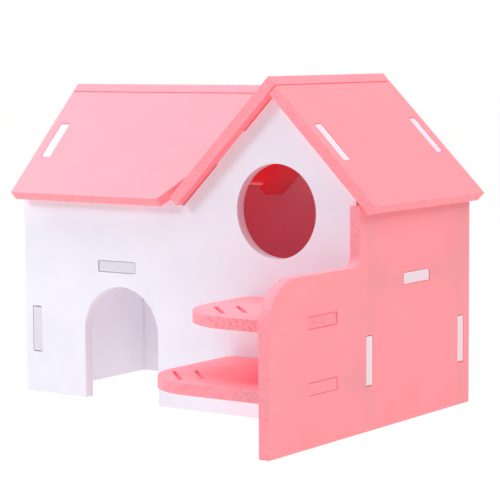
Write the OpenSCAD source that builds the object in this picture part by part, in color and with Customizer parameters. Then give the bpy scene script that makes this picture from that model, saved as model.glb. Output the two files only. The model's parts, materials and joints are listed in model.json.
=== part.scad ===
// Hideout house for a hamster: white walls, pink roof, pink side wall and pink steps.
// Every piece is cut square from one thickness of foamed board, and tabs in slots join them.
// The origin is on the floor, under the middle of the overall box. +X is right, +Y is back.

/* [Board] */
// Thickness of every board
board = 5; // [4:0.25:6]

/* [House] */
// Width from the left wall's outer face to the right wall's outer face
house_w = 186; // [172:1:220]
// Depth from the front wall's front face to the back wall's rear face
house_d = 82.5; // [74:0.5:91]
// Height of the walls at the eaves
wall_h = 95.7; // [88:0.1:115]
// Width of the gabled room at the right
gable_w = 92; // [84:0.5:104]
// Height of the upper floor's underside
floor_z = 59.6; // [56:0.2:64]
// Reach of the front and back walls past the left wall
wall_lip = 4.5; // [0:0.1:10]
// Reach of the right wall past the front and back walls
side_lip = 5.2; // [0:0.1:10]

/* [Door and window] */
// Width of the arched door
door_w = 43; // [30:0.5:50]
// Height of the arched door
door_h = 53; // [40:0.5:56]
// Middle of the door from the left wall's outer face
door_x = 53.4; // [46:0.2:60]
// Diameter of the round window
window_d = 41.3; // [30:0.1:46]
// Height of the window's centre
window_z = 91.3; // [88:0.1:98]

/* [Wing of the right wall] */
// Reach of the wing in front of the front wall
wing_l = 72; // [62:0.5:90]
// Height of the wing
wing_h = 70.5; // [60:0.5:80]
// Radius of the wing's top front corner
wing_r = 19; // [4:0.5:28]
// Radius where the wing's top runs into the upper front edge
wing_fillet = 5; // [2:0.5:10]

/* [Steps] */
// Height of the lower step's underside
lower_step_z = 21.6; // [12:0.2:32]
// Height of the upper step's underside
upper_step_z = 48.7; // [40:0.2:52]
// Reach of the lower step from the right wall's inner face
lower_step_l = 66; // [54:0.5:90]
// Reach of the upper step from the right wall's inner face
upper_step_l = 56; // [50:0.5:90]
// Distance of the lower step's front edge behind the wing's front edge
lower_step_in = 2.8; // [0:0.1:16]
// Distance of the upper step's front edge behind the wing's front edge
upper_step_in = 10.4; // [0:0.1:16]
// Radius of the lower step's free front corner
lower_step_r = 26.5; // [10:0.5:34]
// Radius of the upper step's free front corner
upper_step_r = 32; // [10:0.5:34]
// Radius of the steps' free rear corner
step_rear_r = 5; // [1:0.5:12]
// Length of each grip slit
slit_l = 22.5; // [10:0.5:26]
// Width of each grip slit
slit_w = 2; // [1:0.1:3]
// Distance of the lower step's outer slit from the rounded free corner
lower_slit_in = 8.3; // [6:0.1:12]
// Distance of the upper step's outer slit from the rounded free corner
upper_slit_in = 11; // [6:0.1:12]
// Spacing of the two slits
slit_pitch = 9.3; // [5:0.1:12]

/* [Tabs] */
// Length of every tab
tab_l = 21; // [14:0.5:24]
// Height of the middle of the walls' upright tabs
tab_z = 30; // [20:0.5:40]
// Middle of the floor's front and back tabs from the left wall's outer face
floor_tab_x = 51.2; // [40:0.2:70]
// Middle of the steps' side tabs in front of the front wall
step_tab_y = 33.4; // [24:0.2:40]
// Middle of the steps' rear tabs from the right wall's inner face
step_tab_x = 28; // [18:0.2:36]
// Middle of the gable's roof tabs from the wall's peak, down the slope
gable_tab_at = 33.5; // [24:0.1:44]
// Middle of the left wall's roof tabs from its peak, down the slope
left_tab_at = 31.5; // [22:0.1:34]

/* [Roof] */
// Reach of the gable roof past the walls, down the slope
gable_eave = 5.2; // [0:0.1:10]
// Reach of the left roof past the walls, down the slope
left_eave = 6.5; // [0:0.1:12]
// Reach of the gable roof past the front and back walls
gable_verge = 5.4; // [0.5:0.1:10]
// Reach of the left roof past the left wall
left_verge = 5.2; // [0.5:0.1:10]
// Width of the passage notch in the gable roof's left board
pass_w = 45.5; // [20:0.5:54]
// Height of the passage notch, up the slope
pass_h = 25; // [10:0.5:28]

/* [Fits] */
// Room between a tab and each long side of its slot
slot_play = 0.2; // [0.1:0.05:0.4]
// Room between a tab and each end of its slot
slot_end = 0.4; // [0.1:0.05:0.8]
// Radius that the cutter leaves in the corners of a slot
cutter_r = 0.7; // [0.3:0.05:0.9]
// How far a tab's end stays below the face that it comes through
tab_in = 0.2; // [0:0.05:1]
// Room between a roof board and the wall or board that it rests on
roof_gap = 0.5; // [0.2:0.05:0.7]

/* [Hidden] */
$fn = 96;

white = "#F3F1F6";
pink = "#FF9EA8";

// Both roofs pitch at 45 degrees, so that square-cut boards close the ridges
pitch = 45;
s45 = sin(pitch);
// The grip slits lie across the diagonal of the steps' free corner
slit_turn = -45;
// Overrun of a cutter, or the root of a tab in its board
over = 1;
// Size of a slot, whose rounded corners stay clear of the square corners of a tab
slot_size = [tab_l + 2 * slot_end, board + 2 * slot_play];
slot_r = min(cutter_r, slot_end + slot_play + sqrt(2 * slot_end * slot_play));
// From a roof board's outer face down to the wall below it
roof_depth = board + roof_gap;

// Reach of the roofs past the walls, seen from above
right_out = (roof_depth + gable_eave) * s45;
rear_out = max((roof_depth + left_eave) * s45, gable_verge, side_lip);
left_out = max(wall_lip, left_verge);

// The walls' faces, placed so that the overall box is centred
right_x = (house_w + left_out - right_out) / 2;
inner_x = right_x - board;
left_x = right_x - house_w;
front_y = (wing_l - house_d - rear_out) / 2;
back_y = front_y + house_d;
mid_y = front_y + house_d / 2;

// Peaks of the walls, ridges of the roof's outer faces, and the boards' lengths down the slope
ridge_x = right_x - gable_w / 2;
gable_peak = wall_h + gable_w / 2;
left_peak = wall_h + house_d / 2;
gable_ridge = gable_peak + roof_depth / s45;
left_ridge = left_peak + roof_depth / s45;
gable_slope = gable_w / 2 / s45 + roof_depth + gable_eave;
left_slope = house_d / 2 / s45 + roof_depth + left_eave;

// X where a left roof board's underside comes to the gable roof, s down the slope from the ridge
function valley_x(s) = ridge_x - (gable_ridge - left_ridge) - (s + board) * s45 - roof_gap / s45;

// A board standing across the house, with its front face at y: outline in x and z
module stand_across(y) {
    translate([0, y + board, 0])
        rotate([90, 0, 0])
            linear_extrude(board)
                children();
}

// A board standing along the house, with its left face at x: outline in y and z
module stand_along(x) {
    translate([x, 0, 0])
        rotate([90, 0, 90])
            linear_extrude(board)
                children();
}

// A board lying flat, with its underside at z: outline in x and y
module lie_flat(z) {
    translate([0, 0, z])
        linear_extrude(board)
            children();
}

// A board on the gable's right slope: outline in the distance down the slope and y
module gable_board() {
    translate([ridge_x, 0, gable_ridge])
        rotate([0, pitch, 0])
            translate([0, 0, -board])
                linear_extrude(board)
                    children();
}

// A board on the left roof's front slope: outline in the distance down the slope and x
module left_board() {
    translate([0, mid_y, left_ridge])
        rotate([0, pitch, -90])
            translate([0, 0, -board])
                linear_extrude(board)
                    children();
}

// Tab at a point of an edge that faces the turned +y
module tab(at, turn, reach = board - tab_in) {
    translate(at)
        rotate(turn)
            translate([-tab_l / 2, -over])
                square([tab_l, reach + over]);
}

// Pair of tabs on the two slopes below a wall's peak
module roof_tabs(peak_at, down) {
    for (side = [-1, 1])
        tab(peak_at + down * s45 * [side, -1], -side * pitch, roof_depth - tab_in);
}

// Slot for a tab, long in the outline's x
module slot_across(at) {
    translate(at)
        difference() {
            square(slot_size, center = true);
            for (end = [0, 1], side = [0, 1])
                mirror([end, 0])
                    mirror([0, side])
                        translate(-slot_size / 2)
                            corner_web(slot_r);
        }
}

// Slot for a tab, long in the outline's y
module slot_upright(at) {
    translate(at)
        rotate(90)
            slot_across([0, 0]);
}

// What a rounding takes off a corner at the origin, or a fillet adds there
module corner_web(r) {
    difference() {
        translate([-over, -over])
            square(r + over);
        translate([r, r])
            circle(r);
    }
}

// Outline of the front and back walls, with their tabs and the slots that they share
module house_outline() {
    foot_gap = (gable_eave + roof_gap) * s45;
    foot_x = right_x - gable_w;
    difference() {
        union() {
            polygon([
                [left_x - wall_lip, 0],
                [inner_x, 0],
                [inner_x, wall_h + board],
                [ridge_x, gable_peak],
                [foot_x - foot_gap, wall_h - foot_gap],
                [foot_x - 2 * foot_gap, wall_h],
                [left_x - wall_lip, wall_h]
            ]);
            tab([inner_x, tab_z], -90);
            roof_tabs([ridge_x, gable_peak], gable_tab_at);
        }
        slot_upright([left_x + board / 2, tab_z]);
        slot_across([left_x + floor_tab_x, floor_z + board / 2]);
    }
}

module door() {
    arch_r = door_w / 2;
    translate([left_x + door_x - arch_r, -over])
        square([door_w, door_h - arch_r + over]);
    translate([left_x + door_x, door_h - arch_r])
        circle(arch_r);
}

// Outline of a step: free corners at the left, one tab to the right and one to the rear
module step_outline(reach, inset, corner_r, slit_in) {
    free_x = inner_x - reach;
    nose_y = front_y - wing_l + inset;
    // From the square corner to its rounding, along the diagonal
    corner_cut = corner_r / s45 - corner_r;
    difference() {
        union() {
            translate([free_x, nose_y])
                square([reach, front_y - nose_y]);
            tab([inner_x, front_y - step_tab_y], -90);
            tab([inner_x - step_tab_x, front_y], 0);
        }
        translate([free_x, nose_y])
            corner_web(corner_r);
        translate([free_x, front_y])
            mirror([0, 1])
                corner_web(step_rear_r);
        for (i = [0, 1])
            translate([free_x, nose_y] + (corner_cut + slit_in + i * slit_pitch) * s45 * [1, 1])
                rotate(slit_turn)
                    slit();
    }
}

// Grip slit with round ends, centred
module slit() {
    run = slit_l - slit_w;
    square([run, slit_w], center = true);
    for (side = [-1, 1])
        translate([side * run / 2, 0])
            circle(d = slit_w);
}

// Outline of a left roof board from s0 down the slope, cut off along the valley
module left_roof_outline(s0) {
    verge_x = left_x - left_verge;
    difference() {
        polygon([
            [s0, verge_x],
            [left_slope, verge_x],
            [left_slope, valley_x(left_slope)],
            [s0, valley_x(s0)]
        ]);
        slot_across([left_tab_at + roof_depth, left_x + board / 2]);
    }
}

// Outline of a gable roof board from s0 down the slope
module gable_outline(s0) {
    translate([s0, front_y - gable_verge])
        square([gable_slope - s0, house_d + 2 * gable_verge]);
}

// Slots of a gable roof board for the tabs of the front and back walls
module gable_slots() {
    for (y = [front_y, back_y - board])
        slot_across([gable_tab_at + roof_depth, y + board / 2]);
}

module front_wall() {
    color(white)
        stand_across(front_y)
            difference() {
                house_outline();
                door();
                translate([ridge_x, window_z])
                    circle(d = window_d);
                for (z = [lower_step_z, upper_step_z])
                    slot_across([inner_x - step_tab_x, z + board / 2]);
            }
}

module back_wall() {
    color(white)
        stand_across(back_y - board)
            house_outline();
}

module left_wall() {
    color(white)
        stand_along(left_x)
            difference() {
                union() {
                    polygon([
                        [front_y + board, 0],
                        [back_y - board, 0],
                        [back_y - board, wall_h + board],
                        [mid_y, left_peak],
                        [front_y + board, wall_h + board]
                    ]);
                    tab([front_y + board, tab_z], 90);
                    tab([back_y - board, tab_z], -90);
                    roof_tabs([mid_y, left_peak], left_tab_at);
                }
                slot_across([mid_y, floor_z + board / 2]);
            }
}

module right_wall() {
    wing_y = front_y - wing_l;
    color(pink)
        stand_along(inner_x)
            difference() {
                union() {
                    translate([front_y - side_lip, 0])
                        square([house_d + 2 * side_lip, wall_h]);
                    difference() {
                        translate([wing_y, 0])
                            square([wing_l, wing_h]);
                        translate([wing_y, wing_h])
                            mirror([0, 1])
                                corner_web(wing_r);
                    }
                    translate([front_y - side_lip, wing_h])
                        mirror([1, 0])
                            corner_web(wing_fillet);
                }
                for (y = [front_y, back_y - board])
                    slot_upright([y + board / 2, tab_z]);
                slot_across([mid_y, floor_z + board / 2]);
                for (z = [lower_step_z, upper_step_z])
                    slot_across([front_y - step_tab_y, z + board / 2]);
            }
}

module upper_floor() {
    color(white)
        lie_flat(floor_z) {
            translate([left_x + board, front_y + board])
                square([house_w - 2 * board, house_d - 2 * board]);
            tab([left_x + floor_tab_x, front_y + board], 180);
            tab([left_x + floor_tab_x, back_y - board], 0);
            tab([left_x + board, mid_y], 90);
            tab([inner_x, mid_y], -90);
        }
}

module lower_step() {
    color(pink)
        lie_flat(lower_step_z)
            step_outline(lower_step_l, lower_step_in, lower_step_r, lower_slit_in);
}

module upper_step() {
    color(pink)
        lie_flat(upper_step_z)
            step_outline(upper_step_l, upper_step_in, upper_step_r, upper_slit_in);
}

// The front board's top end closes against the underside of the rear board
module left_roof_front() {
    color(pink)
        left_board()
            left_roof_outline(roof_depth);
}

module left_roof_rear() {
    color(pink)
        translate([0, 2 * mid_y, 0])
            mirror([0, 1, 0])
                left_board()
                    left_roof_outline(0);
}

// Two legs reach the eaves beside the passage between the upper rooms
module gable_roof_left() {
    color(pink)
        translate([2 * ridge_x, 0, 0])
            mirror([1, 0, 0])
                gable_board()
                    difference() {
                        gable_outline(0);
                        gable_slots();
                        translate([gable_slope - pass_h, mid_y - pass_w / 2])
                            square([pass_h + over, pass_w]);
                    }
}

// The right board's top end closes against the underside of the left board
module gable_roof_right() {
    color(pink)
        gable_board()
            difference() {
                gable_outline(roof_depth);
                gable_slots();
            }
}

front_wall();
back_wall();
left_wall();
right_wall();
upper_floor();
lower_step();
upper_step();
left_roof_front();
left_roof_rear();
gable_roof_left();
gable_roof_right();
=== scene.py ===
"""Hideout house for a hamster, dressed for the eye.

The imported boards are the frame. Each one gets a visible board of the same outline, with its sharp
edges eased, a smooth skin on its two faces and a finely porous finish where it was cut.
"""

import json
import math

import bmesh
import bpy
from bpy.props import FloatProperty, FloatVectorProperty, PointerProperty
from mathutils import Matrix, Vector


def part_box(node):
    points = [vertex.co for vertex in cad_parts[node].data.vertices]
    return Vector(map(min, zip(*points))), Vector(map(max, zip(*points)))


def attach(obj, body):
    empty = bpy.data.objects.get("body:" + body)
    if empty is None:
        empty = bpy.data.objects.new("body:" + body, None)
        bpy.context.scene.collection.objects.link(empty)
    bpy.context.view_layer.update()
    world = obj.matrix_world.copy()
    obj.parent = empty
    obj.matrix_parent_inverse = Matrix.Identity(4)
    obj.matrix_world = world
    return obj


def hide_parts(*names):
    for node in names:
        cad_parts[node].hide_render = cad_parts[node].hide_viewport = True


bl_info = {
    "name": "Hamster hideout",
    "version": (1, 0, 0),
    "blender": (4, 5, 0),
    "location": "3D View > Sidebar > Hideout",
    "description": "Dresses the boards of a small flat-pack house and sets its stage",
    "category": "Object",
}

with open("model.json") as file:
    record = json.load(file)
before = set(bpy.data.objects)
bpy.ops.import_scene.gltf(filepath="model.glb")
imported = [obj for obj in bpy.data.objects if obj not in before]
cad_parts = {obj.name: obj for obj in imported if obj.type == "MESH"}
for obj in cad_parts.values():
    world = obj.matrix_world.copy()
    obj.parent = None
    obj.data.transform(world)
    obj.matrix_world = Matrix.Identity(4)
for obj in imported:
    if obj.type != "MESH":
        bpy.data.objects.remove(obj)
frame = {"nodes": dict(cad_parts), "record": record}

MM = 0.001

# Boards: points nearer than WELD are one point, faces that differ by less than FLAT are one face,
# edges that turn by more than SHARP are eased, and a face is skin where the cosine of its tilt
# against the board is above FACE_TILT.
WELD = 0.001 * MM
FLAT = math.radians(0.5)
SHARP = math.radians(40)
FACE_TILT = 0.95
EASE_STEPS = 3
ROUND_PROFILE = 0.5
WIDE_FACES_RULE = 100

# Skin: most values of a noise texture lie between NOISE_LOW and NOISE_HIGH.
PVC_IOR = 1.53
NOISE_LOW, NOISE_HIGH = 0.3, 0.7
CLOUD_DETAIL = 3.0
CLOUD_DARK, CLOUD_LIGHT = 0.97, 1.02
LIGHTEST = 0.99
GRAIN_DETAIL = 2.0
SKIN_SMOOTHEST, SKIN_ROUGHEST = 0.42, 0.52
SKIN_RELIEF = 0.12
SKIN_DEPTH = 0.1 * MM

# Cut edges: the share of cells that stay closed, and the largest pore in shares of the spacing.
CUT_ROUGHNESS = 0.75
CLOSED_CELLS = 0.2
FINE_PORE = 0.75
WIDE_PORE = 0.92
PORE_SLOPE = 0.6
PORE_RELIEF = 0.6
PORE_DEPTH = 0.15 * MM

# Sockets of a mix node for colours, which bear the same names as those for other values.
MIX_SHARE, MIX_FIRST, MIX_SECOND = 0, 6, 7
MIX_RESULT = 2

# Stage: place and side of each square lamp, in metres, all of them aimed at the house's middle.
HOUSE_MIDDLE = (0.0, 0.0, 0.08)
TOP_LAMP = (0.0, -0.1, 1.6), 1.2
LEFT_LAMP = (-0.6, -0.58, 0.51), 0.26
SIDE_LAMP = (-1.05, -0.25, 1.0), 0.6
RIGHT_LAMP = (1.08, 0.0, 1.16), 0.9
SENSOR_WIDTH = 36.0
NEAREST, FARTHEST = 0.01, 100.0
LIGHT_BOUNCES = 10
TABLE_DROP = 0.1 * MM


def linear(code):
    """Linear colour from an sRGB hex value such as #FFA0AA."""
    parts = [int(code[i : i + 2], 16) / 255 for i in (1, 3, 5)]
    return tuple(p / 12.92 if p <= 0.04045 else ((p + 0.055) / 1.055) ** 2.4 for p in parts)


PLAIN_WHITE = (*linear("#FFFFFF"), 1.0)
TABLE_TOP = (*linear("#959595"), 1.0)
TABLE_GLOW = (*linear("#FFFAF8"), 1.0)


class HideoutBoards(bpy.types.PropertyGroup):
    """Finish of the boards."""

    ease: FloatProperty(
        name="Eased edge",
        description="Radius of the boards' eased edges",
        default=0.12 * MM,
        min=0.05 * MM,
        max=1.0 * MM,
        precision=5,
        unit="LENGTH",
    )
    pore: FloatProperty(
        name="Pore spacing",
        description="Spacing of the foam's cells on a cut edge",
        default=0.42 * MM,
        min=0.1 * MM,
        max=2.0 * MM,
        precision=5,
        unit="LENGTH",
    )
    rough_pore: FloatProperty(
        name="Rough pore spacing",
        description="Spacing of the foam's cells on a roughly cut edge",
        default=0.45 * MM,
        min=0.1 * MM,
        max=2.0 * MM,
        precision=5,
        unit="LENGTH",
    )
    peel: FloatProperty(
        name="Skin grain",
        description="Size of the faint unevenness of the skin",
        default=0.9 * MM,
        min=0.2 * MM,
        max=5.0 * MM,
        precision=5,
        unit="LENGTH",
    )
    cloud: FloatProperty(
        name="Skin clouding",
        description="Size of the faint lighter and darker areas of the skin",
        default=22 * MM,
        min=2 * MM,
        max=100 * MM,
        precision=4,
        unit="LENGTH",
    )
    pink: FloatVectorProperty(
        name="Pink",
        description="Colour of the roof, the side wall and the steps",
        default=linear("#FEB2BB"),
        min=0.0,
        max=1.0,
        subtype="COLOR",
    )
    pink_cut: FloatVectorProperty(
        name="Pink cut",
        description="Colour of a pink cut edge",
        default=linear("#FEB9C3"),
        min=0.0,
        max=1.0,
        subtype="COLOR",
    )
    # Painted shade: the colour that stands for the shadow inside the open pores of a pink cut edge.
    pink_pore_shade: FloatVectorProperty(
        name="Pink pore shade",
        description="Colour in the open pores of a pink cut edge",
        default=linear("#D4707F"),
        min=0.0,
        max=1.0,
        subtype="COLOR",
    )
    # Painted shade: a deeper shadow colour for the wider open pores of a roughly cut pink edge.
    pink_rough_pore_shade: FloatVectorProperty(
        name="Pink rough pore shade",
        description="Colour in the open pores of a roughly cut pink edge",
        default=linear("#B85464"),
        min=0.0,
        max=1.0,
        subtype="COLOR",
    )
    white: FloatVectorProperty(
        name="White",
        description="Colour of the walls and the upper floor",
        default=linear("#F4F2FA"),
        min=0.0,
        max=1.0,
        subtype="COLOR",
    )
    white_cut: FloatVectorProperty(
        name="White cut",
        description="Colour of a white cut edge",
        default=linear("#E7E3EB"),
        min=0.0,
        max=1.0,
        subtype="COLOR",
    )
    # Painted shade: the colour that stands for the shadow inside the open pores of a white cut
    # edge.
    white_pore_shade: FloatVectorProperty(
        name="White pore shade",
        description="Colour in the open pores of a white cut edge",
        default=linear("#D3CED9"),
        min=0.0,
        max=1.0,
        subtype="COLOR",
    )
    pink_through: FloatVectorProperty(
        name="Pink against the light",
        description="Colour of the light that comes through a pink board",
        default=linear("#FF6A7A"),
        min=0.0,
        max=1.0,
        subtype="COLOR",
    )
    pink_share: FloatProperty(
        name="Pink translucence",
        description="Share of the light that passes each face of a pink board",
        default=0.31,
        min=0.0,
        max=1.0,
        subtype="FACTOR",
    )
    white_share: FloatProperty(
        name="White translucence",
        description="Share of the light that passes each face of a white board",
        default=0.07,
        min=0.0,
        max=1.0,
        subtype="FACTOR",
    )


class HideoutStage(bpy.types.PropertyGroup):
    """Camera, lamps and floor."""

    camera_at: FloatVectorProperty(
        name="Camera",
        description="Place of the camera",
        default=(0.532876, -0.713720, 0.161279),
        precision=5,
        subtype="TRANSLATION",
        unit="LENGTH",
    )
    camera_turn: FloatVectorProperty(
        name="Camera turn",
        description="Turn of the camera",
        default=(math.radians(84.2299), math.radians(0.3650), math.radians(35.3853)),
        precision=5,
        subtype="EULER",
        unit="ROTATION",
    )
    lens: FloatProperty(
        name="Lens",
        description="Focal length of the camera in millimetres",
        default=143.618,
        min=10.0,
        max=500.0,
        precision=3,
    )
    top_power: FloatProperty(
        name="Top light",
        description="Power of the large soft light above",
        default=17.3,
        min=0.0,
        max=100.0,
        unit="POWER",
    )
    left_power: FloatProperty(
        name="Left light",
        description="Power of the soft light at the front left",
        default=3.7,
        min=0.0,
        max=100.0,
        unit="POWER",
    )
    side_power: FloatProperty(
        name="Side light",
        description="Power of the soft light at the left side",
        default=6.5,
        min=0.0,
        max=100.0,
        unit="POWER",
    )
    right_power: FloatProperty(
        name="Right light",
        description="Power of the soft light at the right",
        default=16.6,
        min=0.0,
        max=100.0,
        unit="POWER",
    )
    dome: FloatProperty(
        name="Dome light",
        description="Strength of the even light from all around",
        default=0.08,
        min=0.0,
        max=5.0,
    )
    table: FloatProperty(
        name="Table light",
        description="Strength of the light from the lit table under the house",
        default=0.94,
        min=0.0,
        max=5.0,
    )
    light_tint: FloatVectorProperty(
        name="Light tint",
        description="Colour of the light from above, from the left and around",
        default=linear("#EAF5FF"),
        min=0.0,
        max=1.0,
        subtype="COLOR",
    )
    right_tint: FloatVectorProperty(
        name="Right tint",
        description="Colour of the light from the right",
        default=linear("#FFDEDC"),
        min=0.0,
        max=1.0,
        subtype="COLOR",
    )
    floor_size: FloatProperty(
        name="Table",
        description="Side of the lit table",
        default=8.0,
        min=1.0,
        max=50.0,
        unit="LENGTH",
    )
    floor_shade: FloatProperty(
        name="Table shadow",
        description="How much of the shadow on the table shows, from 0 to 1",
        default=0.1,
        min=0.0,
        max=1.0,
        subtype="FACTOR",
    )


def add(tree, kind, inputs=None, **settings):
    """Adds a node with its settings, and sets or links its inputs."""
    node = tree.nodes.new(kind)
    for name, value in settings.items():
        setattr(node, name, value)
    for name, value in (inputs or {}).items():
        if isinstance(value, bpy.types.NodeSocket):
            tree.links.new(value, node.inputs[name])
        else:
            node.inputs[name].default_value = value
    return node


def new_material(name):
    """Empty node material, and its tree."""
    material = bpy.data.materials.new(name)
    material.use_nodes = True
    material.node_tree.nodes.clear()
    return material, material.node_tree


def through_board(tree, shader, share, colour):
    """Lets a share of the light pass a face, in its own colour, and closes the material."""
    passed = add(tree, "ShaderNodeBsdfTranslucent", {"Color": (*colour, 1.0)})
    mixed = add(
        tree,
        "ShaderNodeMixShader",
        {0: share, 1: shader.outputs["BSDF"], 2: passed.outputs["BSDF"]},
    )
    add(tree, "ShaderNodeOutputMaterial", {"Surface": mixed.outputs["Shader"]})


def foamed_pvc_skin(name, colour, share, through):
    """Foamed PVC sheet with the closed skin that its cooled rollers leave.

    The eye gets a soft satin sheen, barely uneven, and light that sinks in and shines through.
    """
    boards = bpy.context.scene.hideout_boards
    material, tree = new_material(name)
    place = add(tree, "ShaderNodeTexCoord").outputs["Object"]
    cloud = add(
        tree,
        "ShaderNodeTexNoise",
        {"Vector": place, "Scale": 1 / boards.cloud, "Detail": CLOUD_DETAIL},
    )
    tone = add(
        tree,
        "ShaderNodeMapRange",
        {"Value": cloud.outputs["Fac"], "From Min": NOISE_LOW, "From Max": NOISE_HIGH},
    )
    shade = add(
        tree,
        "ShaderNodeMix",
        {
            MIX_SHARE: tone.outputs["Result"],
            MIX_FIRST: (*(c * CLOUD_DARK for c in colour), 1.0),
            MIX_SECOND: (*(min(c * CLOUD_LIGHT, LIGHTEST) for c in colour), 1.0),
        },
        data_type="RGBA",
    )
    grain = add(
        tree,
        "ShaderNodeTexNoise",
        {"Vector": place, "Scale": 1 / boards.peel, "Detail": GRAIN_DETAIL},
    )
    gloss = add(
        tree,
        "ShaderNodeMapRange",
        {
            "Value": grain.outputs["Fac"],
            "From Min": NOISE_LOW,
            "From Max": NOISE_HIGH,
            "To Min": SKIN_SMOOTHEST,
            "To Max": SKIN_ROUGHEST,
        },
    )
    uneven = add(
        tree,
        "ShaderNodeBump",
        {"Strength": SKIN_RELIEF, "Distance": SKIN_DEPTH, "Height": grain.outputs["Fac"]},
    )
    shader = add(
        tree,
        "ShaderNodeBsdfPrincipled",
        {
            "Base Color": shade.outputs[MIX_RESULT],
            "Roughness": gloss.outputs["Result"],
            "Normal": uneven.outputs["Normal"],
            "IOR": PVC_IOR,
        },
    )
    through_board(tree, shader, share, through)
    return material


def foamed_pvc_cut(name, colour, pore_shade, spacing, largest, share, through):
    """Foamed PVC sheet where a router cut through its cells.

    The eye gets a dull face with fine open pores, and painted shade in the middle of the deeper
    ones.
    """
    material, tree = new_material(name)
    place = add(tree, "ShaderNodeTexCoord").outputs["Object"]
    # Real cells are near 0.1 mm. They are drawn as coarse as the render needs to show them.
    cells = add(tree, "ShaderNodeTexVoronoi", {"Vector": place, "Scale": 1 / spacing})
    pick = add(tree, "ShaderNodeSeparateColor", {"Color": cells.outputs["Color"]})
    size = add(
        tree,
        "ShaderNodeMapRange",
        {"Value": pick.outputs["Red"], "From Min": CLOSED_CELLS, "To Max": largest},
    )
    inside = add(
        tree,
        "ShaderNodeMath",
        {0: size.outputs["Result"], 1: cells.outputs["Distance"]},
        operation="SUBTRACT",
    )
    pore = add(
        tree,
        "ShaderNodeMapRange",
        {"Value": inside.outputs["Value"], "From Max": PORE_SLOPE},
    )
    # Painted shade: the middle of each open pore takes the pore shade colour, where a real hollow
    # would lie in shadow.
    shade = add(
        tree,
        "ShaderNodeMix",
        {
            MIX_SHARE: pore.outputs["Result"],
            MIX_FIRST: (*colour, 1.0),
            MIX_SECOND: (*pore_shade, 1.0),
        },
        data_type="RGBA",
    )
    height = add(
        tree,
        "ShaderNodeMath",
        {0: 1.0, 1: pore.outputs["Result"]},
        operation="SUBTRACT",
    )
    pitted = add(
        tree,
        "ShaderNodeBump",
        {"Strength": PORE_RELIEF, "Distance": PORE_DEPTH, "Height": height.outputs["Value"]},
    )
    shader = add(
        tree,
        "ShaderNodeBsdfPrincipled",
        {
            "Base Color": shade.outputs[MIX_RESULT],
            "Roughness": CUT_ROUGHNESS,
            "Normal": pitted.outputs["Normal"],
            "IOR": PVC_IOR,
        },
    )
    through_board(tree, shader, share, through)
    return material


def made_once(name, make, *details):
    """Material of that name, made when it is first asked for."""
    return bpy.data.materials.get(name) or make(name, *details)


def pink_finish(rough=False):
    """Skin and cut edge of the pink board, through which mostly red light passes."""
    boards = bpy.context.scene.hideout_boards
    passed = boards.pink_share, boards.pink_through
    skin = made_once("Pink foamed PVC skin", foamed_pvc_skin, boards.pink, *passed)
    if rough:
        name = "Pink foamed PVC rough cut edge"
        pores = boards.pink_rough_pore_shade, boards.rough_pore, WIDE_PORE
    else:
        name = "Pink foamed PVC cut edge"
        pores = boards.pink_pore_shade, boards.pore, FINE_PORE
    cut = made_once(name, foamed_pvc_cut, boards.pink_cut, *pores, *passed)
    return skin, cut


def white_finish():
    """Skin and cut edge of the white board, through which all light passes a little."""
    boards = bpy.context.scene.hideout_boards
    passed = boards.white_share, boards.white
    skin = made_once("White foamed PVC skin", foamed_pvc_skin, boards.white, *passed)
    pores = boards.white_pore_shade, boards.pore, FINE_PORE
    cut = made_once("White foamed PVC cut edge", foamed_pvc_cut, boards.white_cut, *pores, *passed)
    return skin, cut


def body_of_node(node):
    """Name of the CAD body that holds a node."""
    for body, nodes in frame["record"]["behaviour"]["bodies"].items():
        if node in nodes:
            return body
    raise RuntimeError(f"no body holds {node}")


def dress_board(node, finish):
    """Makes the visible board of a node: outline, eased edges, skin and cut edges."""
    boards = bpy.context.scene.hideout_boards
    shape = bmesh.new()
    shape.from_mesh(frame["nodes"][node].data)
    bmesh.ops.remove_doubles(shape, verts=shape.verts[:], dist=WELD)
    bmesh.ops.dissolve_limit(shape, angle_limit=FLAT, verts=shape.verts[:], edges=shape.edges[:])
    across = max(shape.faces, key=lambda f: f.calc_area()).normal.copy()
    edges = [e for e in shape.edges if len(e.link_faces) == 2 and e.calc_face_angle() > SHARP]
    bmesh.ops.bevel(
        shape,
        geom=edges,
        offset=boards.ease,
        offset_type="OFFSET",
        affect="EDGES",
        segments=EASE_STEPS,
        profile=ROUND_PROFILE,
        clamp_overlap=False,
        loop_slide=True,
    )
    # Where edges of unlike angles meet, the easing can stand a hair proud of the board.
    low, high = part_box(node)
    for vert in shape.verts:
        vert.co = [min(max(c, a), b) for c, a, b in zip(vert.co, low, high)]
    shape.normal_update()
    for face in shape.faces:
        face.smooth = True
        face.material_index = 0 if abs(face.normal.dot(across)) > FACE_TILT else 1
    mesh = bpy.data.meshes.new(node + "_board")
    shape.to_mesh(mesh)
    shape.free()
    for material in finish:
        mesh.materials.append(material)
    piece = bpy.data.objects.new(node + "_board", mesh)
    bpy.context.scene.collection.objects.link(piece)
    even = piece.modifiers.new("Even shading", "WEIGHTED_NORMAL")
    even.keep_sharp = True
    even.weight = WIDE_FACES_RULE
    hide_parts(node)
    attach(piece, body_of_node(node))


class HIDEOUT_OT_white_walls(bpy.types.Operator):
    """Dresses the front, back and left walls"""

    bl_idname = "hideout.white_walls"
    bl_label = "White walls"

    def execute(self, context):
        for node in ("front_wall", "back_wall", "left_wall"):
            dress_board(node, white_finish())
        return {"FINISHED"}


class HIDEOUT_OT_upper_floor(bpy.types.Operator):
    """Dresses the floor between the lower and the upper room"""

    bl_idname = "hideout.upper_floor"
    bl_label = "Upper floor"

    def execute(self, context):
        dress_board("upper_floor", white_finish())
        return {"FINISHED"}


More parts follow.
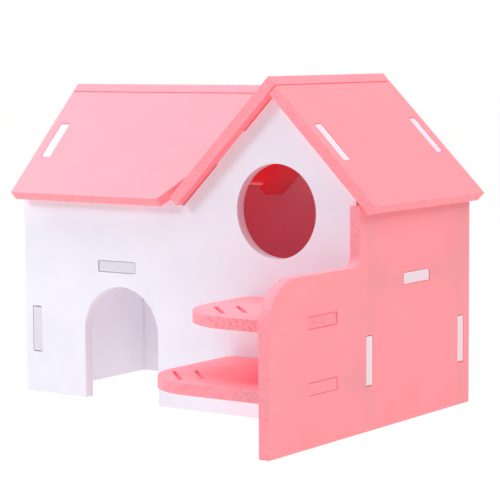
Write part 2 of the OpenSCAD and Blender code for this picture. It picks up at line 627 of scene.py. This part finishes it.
class HIDEOUT_OT_side_wall(bpy.types.Operator):
    """Dresses the right wall with its low wing"""

    bl_idname = "hideout.side_wall"
    bl_label = "Side wall"

    def execute(self, context):
        dress_board("right_wall", pink_finish())
        return {"FINISHED"}


class HIDEOUT_OT_steps(bpy.types.Operator):
    """Dresses the two steps between the front wall and the wing"""

    bl_idname = "hideout.steps"
    bl_label = "Steps"

    def execute(self, context):
        dress_board("lower_step", pink_finish())
        # The upper step's edge is the one whose pores stand wide open, with a deeper painted shade
        # in them.
        dress_board("upper_step", pink_finish(rough=True))
        return {"FINISHED"}


class HIDEOUT_OT_roof(bpy.types.Operator):
    """Dresses the boards of the left roof and of the gable roof"""

    bl_idname = "hideout.roof"
    bl_label = "Roof boards"

    def execute(self, context):
        for node in (
            "left_roof_front",
            "left_roof_rear",
            "gable_roof_left",
            "gable_roof_right",
        ):
            dress_board(node, pink_finish())
        return {"FINISHED"}


def seen_plainly(tree):
    """1 for the rays of the camera and of glossy or clear surfaces, which see plain white."""
    path = add(tree, "ShaderNodeLightPath").outputs
    both = add(
        tree,
        "ShaderNodeMath",
        {0: path["Is Camera Ray"], 1: path["Is Glossy Ray"]},
        operation="ADD",
        use_clamp=True,
    )
    every = add(
        tree,
        "ShaderNodeMath",
        {0: both.outputs["Value"], 1: path["Is Transmission Ray"]},
        operation="ADD",
        use_clamp=True,
    )
    return every.outputs["Value"]


def lit_table(shade_share, table_light):
    """Opal acrylic sheet, cast smooth and lit from below.

    The eye gets plain white with a share of the shadow on it.
    """
    material, tree = new_material("Lit opal acrylic table")
    upper = add(tree, "ShaderNodeBsdfDiffuse", {"Color": TABLE_TOP})
    below = add(tree, "ShaderNodeEmission", {"Color": TABLE_GLOW, "Strength": table_light})
    lit = add(
        tree,
        "ShaderNodeAddShader",
        {0: upper.outputs["BSDF"], 1: below.outputs["Emission"]},
    )
    plain = add(tree, "ShaderNodeEmission", {"Color": PLAIN_WHITE, "Strength": 1.0})
    blend = add(
        tree,
        "ShaderNodeMixShader",
        {0: shade_share, 1: plain.outputs["Emission"], 2: lit.outputs["Shader"]},
    )
    mixed = add(
        tree,
        "ShaderNodeMixShader",
        {0: seen_plainly(tree), 1: lit.outputs["Shader"], 2: blend.outputs["Shader"]},
    )
    add(tree, "ShaderNodeOutputMaterial", {"Surface": mixed.outputs["Shader"]})
    return material


def flat_sheet(name, size, height, material):
    """Flat square sheet of the stage."""
    sheet = bmesh.new()
    corners = ((-0.5, -0.5), (0.5, -0.5), (0.5, 0.5), (-0.5, 0.5))
    sheet.faces.new([sheet.verts.new((size * x, size * y, height)) for x, y in corners])
    mesh = bpy.data.meshes.new(name)
    sheet.to_mesh(mesh)
    sheet.free()
    mesh.materials.append(material)
    piece = bpy.data.objects.new(name, mesh)
    bpy.context.scene.collection.objects.link(piece)


def soft_light(name, lamp_place, power, colour):
    """Square lamp that looks at the middle of the house."""
    at, size = lamp_place
    lamp = bpy.data.lights.new(name, "AREA")
    lamp.shape = "SQUARE"
    lamp.size = size
    lamp.energy = power
    lamp.color = colour
    holder = bpy.data.objects.new(name, lamp)
    holder.location = at
    look = Vector(HOUSE_MIDDLE) - Vector(at)
    holder.rotation_euler = look.to_track_quat("-Z", "Y").to_euler()
    bpy.context.scene.collection.objects.link(holder)


class HIDEOUT_OT_stage(bpy.types.Operator):
    """Sets the camera, the lamps, the white surroundings and the lit table"""

    bl_idname = "hideout.stage"
    bl_label = "Stage"

    def execute(self, context):
        scene = context.scene
        stage = scene.hideout_stage
        scene.view_settings.view_transform = "Standard"
        # In the two pale rooms light goes back and forth many times before it comes out again.
        scene.cycles.diffuse_bounces = LIGHT_BOUNCES

        camera = bpy.data.cameras.new("Camera")
        camera.sensor_width = SENSOR_WIDTH
        camera.lens = stage.lens
        camera.clip_start = NEAREST
        camera.clip_end = FARTHEST
        holder = bpy.data.objects.new("Camera", camera)
        holder.location = stage.camera_at
        holder.rotation_euler = stage.camera_turn
        scene.collection.objects.link(holder)
        scene.camera = holder

        soft_light("Top light", TOP_LAMP, stage.top_power, stage.light_tint)
        soft_light("Left light", LEFT_LAMP, stage.left_power, stage.light_tint)
        soft_light("Side light", SIDE_LAMP, stage.side_power, stage.light_tint)
        soft_light("Right light", RIGHT_LAMP, stage.right_power, stage.right_tint)

        world = bpy.data.worlds.new("White surroundings")
        scene.world = world
        world.use_nodes = True
        tree = world.node_tree
        tree.nodes.clear()
        dome = add(
            tree,
            "ShaderNodeBackground",
            {"Color": (*stage.light_tint, 1.0), "Strength": stage.dome},
        )
        plain = add(tree, "ShaderNodeBackground", {"Color": PLAIN_WHITE, "Strength": 1.0})
        mixed = add(
            tree,
            "ShaderNodeMixShader",
            {
                0: seen_plainly(tree),
                1: dome.outputs["Background"],
                2: plain.outputs["Background"],
            },
        )
        add(tree, "ShaderNodeOutputWorld", {"Surface": mixed.outputs["Shader"]})

        table = lit_table(stage.floor_shade, stage.table)
        flat_sheet("floor_sheet", stage.floor_size, -TABLE_DROP, table)
        return {"FINISHED"}


class HIDEOUT_PT_panel(bpy.types.Panel):
    """Lists the pieces and the stage"""

    bl_idname = "HIDEOUT_PT_panel"
    bl_label = "Hideout"
    bl_space_type = "VIEW_3D"
    bl_region_type = "UI"
    bl_category = "Hideout"

    def draw(self, context):
        layout = self.layout
        for group in (context.scene.hideout_boards, context.scene.hideout_stage):
            for name in group.bl_rna.properties.keys():
                if name not in ("rna_type", "name"):
                    layout.prop(group, name)
        for operator in OPERATORS:
            layout.operator(operator.bl_idname)


OPERATORS = (
    HIDEOUT_OT_white_walls,
    HIDEOUT_OT_upper_floor,
    HIDEOUT_OT_side_wall,
    HIDEOUT_OT_steps,
    HIDEOUT_OT_roof,
    HIDEOUT_OT_stage,
)
CLASSES = (HideoutBoards, HideoutStage, *OPERATORS, HIDEOUT_PT_panel)


def register():
    """Adds the classes and the scene's settings."""
    for cls in CLASSES:
        bpy.utils.register_class(cls)
    bpy.types.Scene.hideout_boards = PointerProperty(type=HideoutBoards)
    bpy.types.Scene.hideout_stage = PointerProperty(type=HideoutStage)


def unregister():
    """Takes them away again."""
    del bpy.types.Scene.hideout_stage
    del bpy.types.Scene.hideout_boards
    for cls in reversed(CLASSES):
        bpy.utils.unregister_class(cls)


def main():
    """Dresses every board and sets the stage."""
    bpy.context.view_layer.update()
    register()
    bpy.ops.hideout.white_walls()
    bpy.ops.hideout.upper_floor()
    bpy.ops.hideout.side_wall()
    bpy.ops.hideout.steps()
    bpy.ops.hideout.roof()
    bpy.ops.hideout.stage()


if __name__ == "__main__":
    main()
